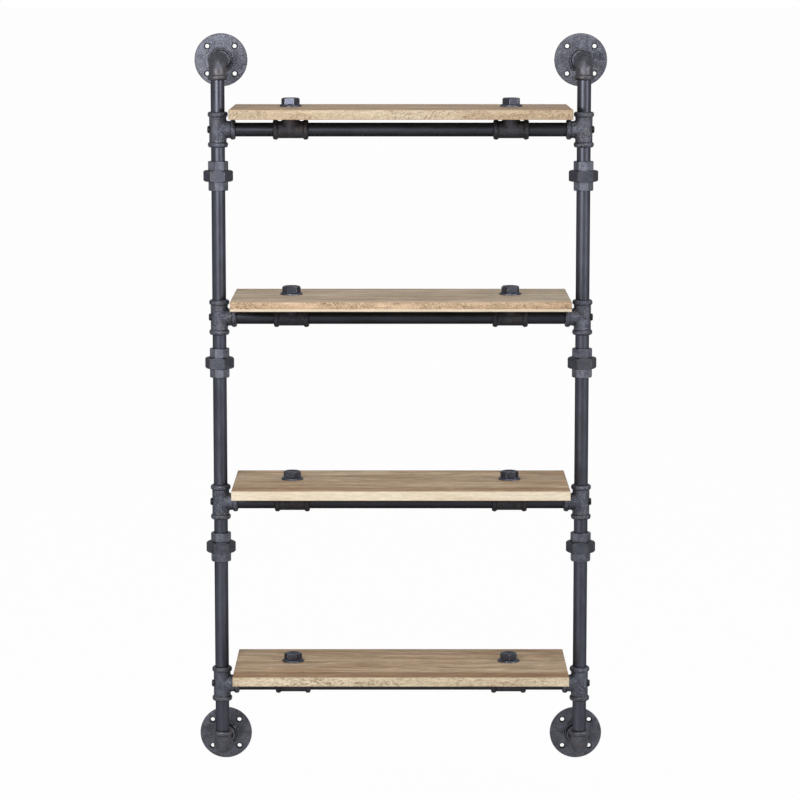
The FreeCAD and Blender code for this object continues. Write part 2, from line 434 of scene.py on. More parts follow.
def makeEdgeWearAndGlint():
    # Where an edge has rubbed bare, with a painted glint along the edges too: near a change of direction,
    # broken up by noise
    group, given, out = startGroup("edgeWearAndGlint", ("Place", "Radius", "Breakup"), ("Mask",))
    rounded = addNode(group, "ShaderNodeBevel", {"Radius": given["Radius"]}, samples=rubbingAndGlint["samples"])
    flat = addNode(group, "ShaderNodeNewGeometry").outputs["Normal"]
    match = addNode(group, "ShaderNodeVectorMath", {0: rounded.outputs[0], 1: flat}, operation="DOT_PRODUCT")
    edge = remap(group, match.outputs["Value"], *rubbingAndGlint["bend"])
    patches = noise(group, given["Place"], given["Breakup"], detail=4.0, rough=0.65)
    patches = remap(group, patches, *rubbingAndGlint["patches"])
    return fillGroup(group, out, Mask=times(group, edge, patches))


crevice = {"samples": 6, "openness": (0.88, 0.40)}


def makeCreviceShade():
    # Painted shade: dark where two faces meet in a corner, as in a crease or a screw hole
    group, given, out = startGroup("creviceShade", ("Distance",), ("Mask",))
    openness = addNode(group, "ShaderNodeAmbientOcclusion", {"Distance": given["Distance"]},
                       samples=crevice["samples"], only_local=True)
    return fillGroup(group, out, Mask=remap(group, openness.outputs["AO"], *crevice["openness"]))


drawing = {
    "lineStretch": (1, 1, 0.02), "lineScale": 1500.0,
    "cloudStretch": (1, 1, 0.35), "cloudScale": 60.0, "fineScale": 1400.0,
}


def makeDrawnLines():
    # Lines left along a pipe by drawing, its length along Z of Place
    group, given, out = startGroup("drawnLines", ("Place",), ("Lines", "Clouds", "Height"))
    place = given["Place"]
    lines = stretched(group, place, drawing["lineStretch"])
    lines = noise(group, lines, drawing["lineScale"], detail=3.0, rough=0.6)
    clouds = stretched(group, place, drawing["cloudStretch"])
    clouds = noise(group, clouds, drawing["cloudScale"], detail=4.0, rough=0.6, bend=0.5)
    fine = noise(group, place, drawing["fineScale"], detail=3.0, rough=0.6)
    height = maths(group, "ADD", times(group, lines, 0.5), times(group, fine, 0.5))
    return fillGroup(group, out, Lines=lines, Clouds=clouds, Height=height)


oakFigure = {
    "staveShift": 0.37,  # m along the grain from one stave to the next
    "bandScale": (3.4, 27, 27), "streakScale": (24, 115, 115), "poreScale": (60, 1300, 1300),
    "poreEdge": (0.62, 0.75), "ringScale": (2.6, 9, 9), "ringCount": 11.0,
}


def makeOakGrain():
    # Boards glued from staves, the grain along X of Place
    outputs = ("Stave", "Bands", "Streaks", "Pores", "Figure")
    group, given, out = startGroup("oakGrain", ("Place", "Stave", "Seed"), outputs)
    place = given["Place"]
    across = maths(group, "DIVIDE", partsOf(group, place)["Y"], given["Stave"])
    count = maths(group, "FLOOR", across)
    number = maths(group, "ADD", count, given["Seed"])
    stave = addNode(group, "ShaderNodeTexWhiteNoise", {"W": number}, noise_dimensions="1D").outputs["Value"]
    along = times(group, number, oakFigure["staveShift"])
    shift = addNode(group, "ShaderNodeCombineXYZ", {0: along, 1: 0.0, 2: number}).outputs[0]
    local = addNode(group, "ShaderNodeVectorMath", {0: place, 1: shift}, operation="ADD").outputs["Vector"]
    bands = stretchedNoise(group, local, oakFigure["bandScale"], detail=3.0, rough=0.6, bend=0.9)
    streaks = stretchedNoise(group, local, oakFigure["streakScale"], detail=6.0, rough=0.75, bend=0.4)
    pores = stretchedNoise(group, local, oakFigure["poreScale"], detail=2.0, rough=0.5)
    pores = remap(group, pores, *oakFigure["poreEdge"])
    bent = stretchedNoise(group, local, oakFigure["ringScale"], detail=2.0, rough=0.5)
    rings = maths(group, "FRACT", times(group, bent, oakFigure["ringCount"]))
    figure = remap(group, maths(group, "ABSOLUTE", maths(group, "SUBTRACT", rings, 0.5)), 0.0, 0.5)
    return fillGroup(group, out, Stave=stave, Bands=bands, Streaks=streaks, Pores=pores, Figure=figure)


castGrain = makeCastGrain()
edgeWearAndGlint = makeEdgeWearAndGlint()
creviceShade = makeCreviceShade()
drawnLines = makeDrawnLines()
oakGrain = makeOakGrain()


def finishSurface(tree, height, depth, inputs):
    bump = {"Strength": 1.0, "Distance": depth * mm, "Height": height}
    inputs["Normal"] = addNode(tree, "ShaderNodeBump", bump).outputs[0]
    endMaterial(tree, addNode(tree, "ShaderNodeBsdfPrincipled", inputs))


def finishMetal(tree, colour, rough, height, values):
    finishSurface(tree, height, values["depth"], {
        "Base Color": colour, "Roughness": rough,
        "Metallic": values["metallic"], "Specular Tint": values["tint"],
    })


def wornAndGlintingEdges(tree, place, values):
    radius, breakup = values["wearRadius"] * mm, values["wearBreakup"]
    return useGroup(tree, edgeWearAndGlint, Place=place, Radius=radius, Breakup=breakup)["Mask"]


def makePipeFinish(name, values, turn=(0, 0, 0)):
    material, tree = startMaterial(name)
    place = stretched(tree, objectPlace(tree), (1, 1, 1), turn)
    drawn = useGroup(tree, drawnLines, Place=place)
    wornAndGlinting = wornAndGlintingEdges(tree, place, values)
    tone = remap(tree, drawn["Clouds"], *middle)
    colour = mixColours(tree, tone, values["dark"], values["light"])
    colour = tinted(tree, colour, remap(tree, drawn["Lines"], *middle, *values["lineTone"]))
    colour = overlay(tree, colour, wornAndGlinting, values["wearAndGlint"], values["bare"])
    rough = remap(tree, drawn["Clouds"], *middle, *values["rough"])
    finishMetal(tree, colour, rough, drawn["Height"], values)
    return material


def insideSinks(tree, place, values):
    # The countersinks of the wall flanges, each so far across and up from its flange's centre, darkened with
    # painted shade
    parts = partsOf(tree, place)
    offsets = {1: 0.0}
    for axis, centre in ((0, uprightX), (2, endHeight)):
        fromCentre = maths(tree, "SUBTRACT", maths(tree, "ABSOLUTE", parts[axis]), centre)
        fromCentre = maths(tree, "ABSOLUTE", fromCentre)
        offsets[axis] = maths(tree, "SUBTRACT", fromCentre, values["sinkAcross"] * mm)
    offset = addNode(tree, "ShaderNodeCombineXYZ", offsets).outputs[0]
    far = addNode(tree, "ShaderNodeVectorMath", {0: offset}, operation="LENGTH").outputs["Value"]
    return remap(tree, far, *edgeAt(values["sinkRadius"] * mm, values["sinkBlur"] * mm))


def makeCastFinish(name, values):
    material, tree = startMaterial(name)
    place = objectPlace(tree)
    cast = useGroup(tree, castGrain, Place=place, Grain=values["grain"], Lumps=values["lumps"],
                    Pits=values["pits"])
    paintedShade = useGroup(tree, creviceShade, Distance=values["paintedShadeReach"] * mm)["Mask"]
    tone = remap(tree, cast["Mottle"], *middle)
    colour = mixColours(tree, tone, values["dark"], values["light"])
    grit = remap(tree, cast["Height"], castSkin["gritFrom"], 1.0, 1.0 - values["grit"], 1.0 + values["grit"])
    colour = tinted(tree, colour, grit)
    brown = noise(tree, place, values["brownScale"], detail=4.0, rough=0.6, bend=0.8)
    brown = remap(tree, brown, *values["brownEdge"])
    colour = overlay(tree, colour, brown, values["brownShare"], values["brown"])
    colour = overlay(tree, colour, wornAndGlintingEdges(tree, place, values), values["wearAndGlint"], values["bare"])
    # Painted shade in the creases and corners, from the crevice mask
    colour = overlay(tree, colour, paintedShade, values["paintedShade"], values["paintedShadeColour"])
    # Painted shade inside the countersinks of the wall flanges
    if "sinkRadius" in values:
        sinks = insideSinks(tree, place, values)
        colour = overlay(tree, colour, sinks, values["sinkPaintedShade"], values["paintedShadeColour"])
    rough = remap(tree, cast["Mottle"], *middle, *values["rough"])
    finishMetal(tree, colour, rough, cast["Height"], values)
    return material


pipeValues = {
    "dark": (0.047, 0.049, 0.061, 1), "light": (0.060, 0.063, 0.079, 1), "bare": (0.13, 0.13, 0.14, 1),
    "wearAndGlint": 0.6, "wearRadius": 0.6, "wearBreakup": 300.0, "lineTone": (0.88, 1.1), "depth": 0.02,
    "rough": (0.32, 0.40), "metallic": 0.9, "tint": (0.3, 0.3, 0.3, 1),
}
# The rails take a darker copy of the pipe colour: painted shade under the boards
shadedRailValues = {
    **pipeValues, "dark": (0.027, 0.029, 0.035, 1), "light": (0.036, 0.038, 0.047, 1), "rough": (0.40, 0.48),
}
pipeUpright = makePipeFinish("pipeUpright", pipeValues)
pipeRail = makePipeFinish("pipeRail", shadedRailValues, (0, math.pi / 2, 0))
pipeWall = makePipeFinish("pipeWall", pipeValues, (math.pi / 2, 0, 0))

fittingValues = {
    "dark": (0.055, 0.057, 0.069, 1), "light": (0.096, 0.099, 0.119, 1), "bare": (0.24, 0.20, 0.19, 1),
    "brown": (0.085, 0.071, 0.066, 1), "brownShare": 0.4, "brownScale": 38.0, "brownEdge": (0.46, 0.66),
    "wearAndGlint": 0.6, "wearRadius": 0.9, "wearBreakup": 170.0,
    "grain": 560.0, "lumps": 0.5, "pits": 0.45, "depth": 1.1, "grit": 0.4,
    # The crevice colour and its share are painted shade in creases and corners
    "paintedShade": 0.7, "paintedShadeColour": (0.012, 0.012, 0.015, 1), "paintedShadeReach": 2.5,
    "rough": (0.31, 0.42), "metallic": 0.85, "tint": (0.4, 0.4, 0.4, 1),
}
castSideTee = makeCastFinish("castSideTee", {
    **fittingValues, "brownShare": 0.25, "rough": (0.25, 0.35), "wearAndGlint": 0.75,
    "dark": (0.052, 0.055, 0.069, 1), "light": (0.088, 0.093, 0.114, 1),
})
# Darker than the other castings: painted shade under the boards; the brown patches are rust
castShelfTeeShaded = makeCastFinish("castShelfTeeShaded", {
    **fittingValues, "brownShare": 0.5, "rough": (0.42, 0.52), "wearAndGlint": 0.45, "depth": 1.0,
    "dark": (0.026, 0.026, 0.031, 1), "light": (0.044, 0.043, 0.050, 1),
    "brown": (0.052, 0.040, 0.036, 1), "bare": (0.12, 0.095, 0.088, 1),
})
castElbow = makeCastFinish("castElbow", {
    **fittingValues, "depth": 0.35, "brownShare": 0.45, "grit": 0.25,
    "dark": (0.050, 0.052, 0.063, 1), "light": (0.082, 0.084, 0.101, 1),
})
# The flange's pale edge colour is partly a painted highlight on its rim
flangeValues = {
    **fittingValues, "depth": 0.75, "brownShare": 0.1, "grit": 0.25, "paintedShade": 0.5, "wearAndGlint": 0.95,
    "dark": (0.060, 0.063, 0.077, 1), "light": (0.112, 0.116, 0.141, 1), "bare": (0.30, 0.30, 0.33, 1),
    "sinkRadius": 5.1, "sinkBlur": 0.3, "sinkPaintedShade": 0.85,
    "sinkAcross": 21.21,  # mm from the flange's centre, across and up
}
# The top flanges take the lighter colours and the bottom flanges a darker copy: painted light and shade on
# one finish
castFlangeLitTop = makeCastFinish("castFlangeLitTop", flangeValues)
castFlangeShadedBottom = makeCastFinish("castFlangeShadedBottom", {
    **flangeValues, "dark": (0.047, 0.049, 0.059, 1), "light": (0.088, 0.091, 0.110, 1),
})
# On the unions the pale edge colour is partly a painted highlight along the facet edges
forgedUnion = makeCastFinish("forgedUnion", {
    **fittingValues, "grain": 750.0, "depth": 0.35, "brownShare": 0.1, "grit": 0.2, "wearAndGlint": 0.9,
    "dark": (0.063, 0.067, 0.082, 1), "light": (0.114, 0.119, 0.145, 1), "bare": (0.32, 0.32, 0.35, 1),
})
forgedNut = makeCastFinish("forgedNut", {
    **fittingValues, "grain": 750.0, "depth": 0.35, "brownShare": 0.15, "grit": 0.2, "rough": (0.38, 0.50),
    "dark": (0.040, 0.042, 0.052, 1), "light": (0.062, 0.065, 0.080, 1), "wearAndGlint": 0.85,
})
# On the plugs the pale edge colour is mostly a painted glint on the facet edges and the flange rim, more than
# real wear
plugFinish = makeCastFinish("plugFinish", {
    **fittingValues, "depth": 0.10, "rough": (0.32, 0.38), "brownShare": 0.05, "grit": 0.2, "wearAndGlint": 1.0,
    "wearRadius": 0.8, "dark": (0.046, 0.050, 0.066, 1), "light": (0.070, 0.076, 0.099, 1),
    "bare": (0.60, 0.61, 0.66, 1),
})
boltFinish = makeCastFinish("boltFinish", {
    **fittingValues, "depth": 0.05, "rough": (0.3, 0.4), "brownShare": 0.1, "grit": 0.2,
    "dark": (0.014, 0.014, 0.016, 1), "light": (0.022, 0.022, 0.026, 1), "wearAndGlint": 0.3,
})
print("metal finishes made")


def planedColour(tree, place, across, grain, values):
    # Bands, streaks, faint rings and pores, and on some boards a darker strip along the front
    bands = remap(tree, grain["Bands"], *values["bandEdge"])
    colour = mixColours(tree, bands, values["topDark"], values["topLight"])
    colour = tinted(tree, colour, remap(tree, grain["Stave"], 0.0, 1.0, *values["staveTone"]))
    colour = tinted(tree, colour, remap(tree, grain["Streaks"], *values["streakEdge"], *values["streakTone"]))
    colour = overlay(tree, colour, grain["Figure"], values["figureShare"], values["topDark"])
    lines = stretchedNoise(tree, place, values["lineScale"], detail=3.0, rough=0.6)
    colour = tinted(tree, colour, remap(tree, lines, *middle, *values["lineTone"]))
    strip = remap(tree, across, *edgeAt(values["stripFrom"], values["stripBlur"]))
    colour = overlay(tree, colour, strip, values["stripShare"], tinted(tree, colour, values["stripTone"]))
    return overlay(tree, colour, grain["Pores"], values["poreShare"], values["poreColour"])


def tornGrain(tree, place, values):
    # Short slanting strokes and the cracks between them, stronger in some patches than in others
    slanted = stretched(tree, place, (1, 1, 1), (0, values["strokeTurn"], 0))
    strokes = stretchedNoise(tree, slanted, values["strokeScale"], detail=3.0, rough=0.6, bend=1.2)
    strokes = remap(tree, strokes, values["strokeFrom"], values["strokeFrom"] - values["strokeFade"])
    cells = {"Vector": stretched(tree, slanted, values["cellScale"]), "Scale": 1.0}
    cells = addNode(tree, "ShaderNodeTexVoronoi", cells, feature="DISTANCE_TO_EDGE")
    cracks = remap(tree, cells.outputs["Distance"], *values["crackEdge"])
    cracks = maths(tree, "MAXIMUM", strokes, times(tree, cracks, values["crackShare"]))
    patches = stretchedNoise(tree, place, values["patchScale"], detail=3.0, rough=0.6)
    patches = remap(tree, patches, *values["patchEdge"], values["patchLeast"], 1.0)
    return times(tree, cracks, times(tree, patches, values["crack"]))


def sawnColour(tree, height, grain, fibre, cracks, values):
    # The front, back and ends, with torn grain, and on one board a paler foot
    colour = mixColours(tree, remap(tree, grain["Bands"], *middle), values["sideDark"], values["sideLight"])
    colour = tinted(tree, colour, remap(tree, fibre, *middle, *values["fibreTone"]))
    colour = mixColours(tree, cracks, colour, values["crackColour"])
    foot = remap(tree, height, *edgeAt(values["paleBelow"], values["paleBlur"]))
    return overlay(tree, colour, foot, values["paleShare"], values["paleColour"])


def makeOak(name, values):
    material, tree = startMaterial(name)
    place = stretched(tree, objectPlace(tree), (1, 1, 1), shift=values["shift"])
    here = partsOf(tree, objectPlace(tree))
    grain = useGroup(tree, oakGrain, Place=place, Stave=values["stave"], Seed=values["seed"])
    fibre = stretchedNoise(tree, place, values["fibreScale"], detail=4.0, rough=0.65)
    cracks = tornGrain(tree, place, values)
    normal = addNode(tree, "ShaderNodeNewGeometry").outputs["Normal"]
    up = maths(tree, "ABSOLUTE", partsOf(tree, normal)["Z"])
    sawn = remap(tree, up, *values["sawnUp"])

    planed = planedColour(tree, place, here["Y"], grain, values)
    colour = mixColours(tree, sawn, planed, sawnColour(tree, here["Z"], grain, fibre, cracks, values))
    arris = times(tree, remap(tree, up, *values["arrisLow"]), remap(tree, up, *values["arrisHigh"]))
    colour = overlay(tree, colour, arris, values["arrisShare"], values["arrisColour"])

    planedHeight = times(tree, grain["Streaks"], values["streakHeight"])
    sawnHeight = maths(tree, "SUBTRACT", fibre, times(tree, cracks, values["crackDepth"]))
    height = mixValues(tree, sawn, planedHeight, sawnHeight)
    height = maths(tree, "SUBTRACT", height, times(tree, grain["Pores"], values["poreDepth"]))
    rough = remap(tree, grain["Streaks"], *middle, *values["planedRough"])
    rough = mixValues(tree, sawn, rough, values["sawnRough"])
    finishSurface(tree, height, values["depth"], {
        "Base Color": colour, "Roughness": rough, "Specular IOR Level": values["shine"],
    })
    return material


oakValues = {
    "stave": 0.043, "seed": 0.0, "staveTone": (0.92, 1.06),
    "topDark": (0.415, 0.280, 0.172, 1), "topLight": (0.61, 0.475, 0.333, 1),
    "bandEdge": (0.34, 0.66), "figureShare": 0.16,
    "streakEdge": (0.36, 0.64), "streakTone": (0.70, 1.22), "streakHeight": 0.5,
    "lineScale": (7, 700, 700), "lineTone": (0.88, 1.12),
    "poreColour": (0.16, 0.10, 0.062, 1), "poreShare": 0.4, "poreDepth": 0.3,
    "stripTone": (0.65, 0.54, 0.46, 1), "stripShare": 0.0, "stripBlur": 0.0012,
    "stripFrom": -0.179,  # m from the wall
    "arrisColour": (0.31, 0.195, 0.118, 1), "arrisShare": 0.5,
    "sideDark": (0.44, 0.335, 0.222, 1), "sideLight": (0.57, 0.47, 0.345, 1),
    "fibreScale": (60, 420, 420), "fibreTone": (0.88, 1.1),
    "strokeTurn": 0.6, "strokeScale": (230, 600, 600), "strokeFrom": 0.53, "strokeFade": 0.15,
    "crackColour": (0.21, 0.135, 0.08, 1), "crack": 0.72, "crackShare": 0.25, "crackDepth": 1.2,
    "cellScale": (210, 480, 480), "crackEdge": (0.12, 0.02),
    "patchScale": (14, 60, 60), "patchEdge": (0.30, 0.62), "patchLeast": 0.35,
    "paleColour": (0.66, 0.575, 0.445, 1), "paleBelow": 0.0, "paleShare": 0.0, "paleBlur": 0.0006,
    "planedRough": (0.5, 0.62), "sawnRough": 0.85, "depth": 0.25, "shine": 0.03,
    # how upright the normal is where the sawn faces end, and on both sides of an arris
    "sawnUp": (0.75, 0.45), "arrisLow": (0.2, 0.45), "arrisHigh": (0.97, 0.85),
}
oakChanges = {
    1: {"shift": (0.3, 0.0, 0.0), "seed": 3.0, "crack": 0.85,
        "topDark": (0.455, 0.305, 0.194, 1), "topLight": (0.67, 0.515, 0.367, 1)},
    2: {"shift": (1.7, 0.01, 0.4), "seed": 11.0, "crack": 1.0, "crackShare": 0.9, "paleShare": 0.9,
        "strokeTurn": -0.5, "strokeFrom": 0.555, "paleBelow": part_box("board_2")[0].z + 0.0042,
        "topDark": (0.475, 0.355, 0.242, 1), "topLight": (0.655, 0.555, 0.43, 1),
        "sideDark": (0.48, 0.325, 0.20, 1), "sideLight": (0.655, 0.485, 0.33, 1)},
    3: {"shift": (3.1, 0.02, 0.8), "seed": 20.0, "crack": 0.14, "stripShare": 0.45, "strokeTurn": 0.2,
        "sideDark": (0.57, 0.48, 0.35, 1), "sideLight": (0.68, 0.60, 0.48, 1)},
    4: {"shift": (4.9, 0.015, 1.3), "seed": 34.0, "crack": 0.9, "stripShare": 0.9, "strokeTurn": 0.12,
        "strokeScale": (150, 640, 640),
        "sideDark": (0.54, 0.445, 0.31, 1), "sideLight": (0.71, 0.62, 0.46, 1)},
}

boardShape = {
    "cuts": (256, 40, 9),  # along, across and through the thickness
    "edge": 1.0,  # mm, rounding of the long edges
    "sawnNoise": {"depth": 0.5, "size": 2.6, "stretch": 3.0},
    "planedNoise": {"depth": 0.12, "size": 9.0, "stretch": 12.0},
    "recessRadius": 15.95, "recessDepth": 7.0, "holeRadius": 11.25, "holeTop": 20,
}


def roughen(piece, name, faces, depth, size, stretch):
    # Presses noise into the faces of one vertex group, stretched along the grain
    texture = bpy.data.textures.new(name, "CLOUDS")
    texture.noise_scale = size * mm
    texture.noise_depth = 3
    bpy.ops.object.empty_add(location=(0, 0, 0))
    guide = bpy.context.object
    guide.scale = (stretch, 1, 1)
    bpy.context.view_layer.update()
    useModifier(piece, "DISPLACE", texture=texture, texture_coords="OBJECT", texture_coords_object=guide,
                strength=depth * mm, mid_level=1.0, vertex_group=faces)
    bpy.data.objects.remove(guide, do_unlink=True)


def cutGrid(piece, cuts):
    # Cuts the edges that run along each axis so many times
    openMesh(piece)
    for axis, count in enumerate(cuts):
        bpy.ops.mesh.select_mode(type="EDGE")
        bpy.ops.mesh.select_all(action="DESELECT")
        mesh = bmesh.from_edit_mesh(piece.data)
        for edge in mesh.edges:
            span = edge.verts[1].co - edge.verts[0].co
            if abs(span[axis]) > 0.99 * span.length:
                edge.select_set(True)
        bmesh.update_edit_mesh(piece.data)
        bpy.ops.mesh.subdivide(number_cuts=count)
    closeMesh()


def groupFaces(piece):
    # The planed top and bottom, and the sawn faces round them
    sawn = piece.vertex_groups.new(name="sawnFaces")
    planed = piece.vertex_groups.new(name="planedFaces")
    for vertex in piece.data.vertices:
        upright = abs(vertex.normal.z) < 0.8
        (sawn if upright else planed).add([vertex.index], 1.0, "REPLACE")


def boreBoard(piece, underside):
    # A recess for each shelf tee's mouth, and a hole through it for the plug
    for side in sides.values():
        recess = roundBar("recessTool", boardShape["recessRadius"], -2, boardShape["recessDepth"])
        hole = roundBar("holeTool", boardShape["holeRadius"], -1, boardShape["holeTop"])
        combine(recess, hole, "UNION")
        movePiece(recess, (side * shelfTeeX, -standoff, underside))
        combine(piece, recess, "DIFFERENCE")


def makeBoard(number):
    node = "board_%d" % number
    low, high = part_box(node)
    bpy.ops.mesh.primitive_cube_add(size=1, location=(low + high) / 2)
    piece = bpy.context.object
    piece.scale = high - low
    piece.name = "oakBoard%d" % number
    fixInMesh(piece)
    cutGrid(piece, boardShape["cuts"])
    useModifier(piece, "BEVEL", width=boardShape["edge"] * mm, segments=2, limit_method="ANGLE",
                angle_limit=math.radians(60))
    groupFaces(piece)
    for faces in ("sawn", "planed"):
        roughen(piece, "%sNoise%d" % (faces, number), faces + "Faces", **boardShape[faces + "Noise"])
    boreBoard(piece, low.z)
    smoothFaces(piece, 40)
    piece.vertex_groups.clear()
    declare(piece, makeOak("oak%d" % number, {**oakValues, **oakChanges[number]}), node)


for number in shelves:
    makeBoard(number)
print("boards made")


pipeShape = {"radius": 10.65, "bore": 8.05, "edge": 0.6}


def makePipe(name, length):
    # From height 0 up, in millimetres, its ends faced and broken
    radius, bore, edge = pipeShape["radius"], pipeShape["bore"], pipeShape["edge"]
    ring = [(bore, 0), (radius - edge, 0), (radius, edge), (radius, length - edge), (radius - edge, length)]
    pipe = turnOutline(name, ring + [(bore, length), (bore, 0)])
    smoothFaces(pipe)
    return pipe


def pipesInNode(name, node, axis, spans, material):
    # spans is a list of (start point, length) of the lengths of pipe in one node
    turn = {"x": (0, 90, 0), "y": (90, 0, 0), "z": (0, 0, 0)}[axis]
    made = []
    for start, length in spans:
        master = makePipe(name, length)
        made.append(copyPiece(master, name, start, turn))
        bpy.data.objects.remove(master, do_unlink=True)
    declare(joinPieces(name, made), material, node)


fit = {
    "inTee": 14.0,  # from a tee's centre to the end of a pipe in it
    "inElbow": 15.0,
    "threadIn": 13.0,  # how deep a pipe stands in a union
    "unionTop": 48.0, "unionSeat": 69.0, "unionBottom": 93.0,  # below the side tee above
    "wallFrom": 5.0,
}

inTee = fit["inTee"] * mm
for number, height in enumerate(railHeights, start=1):
    inner = shelfTeeX - inTee
    outer = uprightX - inTee - (shelfTeeX + inTee)
    spans = [((-inner, -standoff, height), 2 * inner / mm)]
    spans += [((start, -standoff, height), outer / mm) for start in (shelfTeeX + inTee, inTee - uprightX)]
    pipesInNode("railShelf%d" % number, "rail_%d" % number, "x", spans, pipeRail)

nippleDrop = fit["unionTop"] + fit["threadIn"]
for sideName, side in sides.items():
    axisX = side * uprightX
    nipples, uprights = [], []
    for height, below in zip(railHeights, railHeights[1:]):
        nipples.append(((axisX, -standoff, height - nippleDrop * mm), nippleDrop - fit["inTee"]))
        pipeTop = height - (fit["unionBottom"] - fit["threadIn"]) * mm
        uprights.append(((axisX, -standoff, below + inTee), (pipeTop - below - inTee) / mm))
    title = sideName.capitalize()
    pipesInNode("shortNipples" + title, "short_nipples_" + sideName, "z", nipples, pipeUpright)
    pipesInNode("uprightPipes" + title, "upright_pipes_" + sideName, "z", uprights, pipeUpright)

endLength = (endHeight - railHeights[0]) / mm - fit["inTee"] - fit["inElbow"]
topFoot = railHeights[0] + inTee
bottomFoot = -endHeight + fit["inElbow"] * mm
for endName, foot in (("top", topFoot), ("bottom", bottomFoot)):
    spans = atUprights(-standoff, foot, endLength)
    pipesInNode(endName + "Nipples", endName + "_nipples", "z", spans, pipeUpright)

wallLength = standoff / mm - fit["inElbow"] - fit["wallFrom"]
spans = []
for height in (endHeight, -endHeight):
    spans += atUprights(-fit["wallFrom"] * mm, height, wallLength)
pipesInNode("wallNipples", "wall_nipples", "y", spans, pipeWall)
print("pipe made")


armShape = {
    "body": 13.25, "collar": 15.45, "collarLength": 8.2, "bevel": 2.1, "segments": 72,
    "teeReach": 27.0, "elbowReach": 28.0, "bend": 14.0, "socket": 10.75, "mouthBevel": 0.45,
}


def collarRings(reach):
    # From the arm's body up a soft shoulder, along the collar and round its lip
    body, collar, bevel = armShape["body"], armShape["collar"], armShape["bevel"]
    foot = reach - armShape["collarLength"]
    rings = [
        (body + 0.2, foot + 0.1), (body + 0.8, foot + 0.7), (collar - 0.5, foot + 1.5),
        (collar - 0.12, foot + 2.2), (collar, foot + 3.0), (collar, reach - bevel * 1.6),
        (collar - 0.2, reach - bevel * 1.1), (collar - 0.75, reach - bevel * 0.5),
    ]
    return rings + [(collar - bevel, reach)]


def socketTool(reach, depth):
    socket, bevel = armShape["socket"], armShape["mouthBevel"]
    rings = [(socket, reach - depth), (socket, reach - bevel), (socket + bevel, reach)]
    return turnOutline("socketTool", rings + [(socket + bevel, reach + 2)], 48)


teeCast = {
    "voxel": 0.6, "keep": 0.22, "wholeSmooth": {"factor": 0.5, "iterations": 4},
    "crotchSmooth": {"factor": 0.6, "iterations": 26}, "crotchMargin": 1.5, "crotchBack": 0.6,
    "boltHole": 3.1, "boltHoleFoot": 4, "boltSeat": 12.75, "boltSeatRadius": 5.8, "toolTop": 20,
}
teeMouths = ((0, 0, 0), (0, 180, 0), (0, -90, 0))  # the turns of the run's two ends and of the branch


def castTeeBody(name):
    # Run along Z and branch along -X, blended into each other, without collars and sockets
    reach, body, segments = armShape["teeReach"], armShape["body"], armShape["segments"]
    armEnd = reach - armShape["collarLength"] / 2
    tee = roundBar(name, body, -armEnd, armEnd, segments)
    branch = turnPiece(roundBar("branch", body, 0, armEnd, segments), *teeMouths[2])
    combine(tee, branch, "UNION")
    useModifier(tee, "REMESH", mode="VOXEL", voxel_size=teeCast["voxel"] * mm)
    crotch = tee.vertex_groups.new(name="crotch")
    limit = (reach - armShape["collarLength"] - teeCast["crotchMargin"]) * mm
    for vertex in tee.data.vertices:
        spot = vertex.co
        if abs(spot.z) < limit and -limit < spot.x < body * teeCast["crotchBack"] * mm:
            crotch.add([vertex.index], 1.0, "REPLACE")
    useModifier(tee, "SMOOTH", vertex_group="crotch", **teeCast["crotchSmooth"])
    useModifier(tee, "SMOOTH", **teeCast["wholeSmooth"])
    useModifier(tee, "DECIMATE", ratio=teeCast["keep"])
    tee.vertex_groups.clear()
    return tee


def cutBoltSeat(tee):
    # A flat seat and a hole for the side bolt, behind the branch
    top = teeCast["toolTop"]
    tool = roundBar("seatTool", teeCast["boltSeatRadius"], teeCast["boltSeat"], top, 48)
    hole = roundBar("holeTool", teeCast["boltHole"], teeCast["boltHoleFoot"], top, 32)
    combine(tool, hole, "UNION")
    combine(tee, turnPiece(tool, 0, 90, 0), "DIFFERENCE")


def makeTee(name, boltSide):
    reach = armShape["teeReach"]
    start = (armShape["body"] - 0.8, reach - armShape["collarLength"] - 0.4)  # just inside the body
    tee = castTeeBody(name)
    for turn in teeMouths:
        collar = turnOutline("collar", [start] + collarRings(reach), armShape["segments"])
        combine(tee, turnPiece(collar, *turn), "UNION")
    through = reach + 4
    bores = socketTool(reach, through)
    for turn, depth in zip(teeMouths[1:], (through, reach)):
        combine(bores, turnPiece(socketTool(reach, depth), *turn), "UNION")
    combine(tee, bores, "DIFFERENCE")
    if boltSide:
        cutBoltSeat(tee)
    smoothFaces(tee, 40)
    return tee


elbowCast = {"spinSteps": 14, "partingLine": 0.35, "socketDepth": 13.0}


def raisePartingLine(elbow, reach):
    # The mould's line round the bend, where the two halves of the mould met
    openMesh(elbow)
    mesh = bmesh.from_edit_mesh(elbow.data)
    for vertex in mesh.verts:
        onCollar = max(vertex.co.y, vertex.co.z) > (reach - armShape["collarLength"]) * mm
        vertex.select_set(abs(vertex.co.x) < 0.0002 and not onCollar)
    bmesh.update_edit_mesh(elbow.data)
    bpy.ops.transform.shrink_fatten(value=elbowCast["partingLine"] * mm)
    closeMesh()


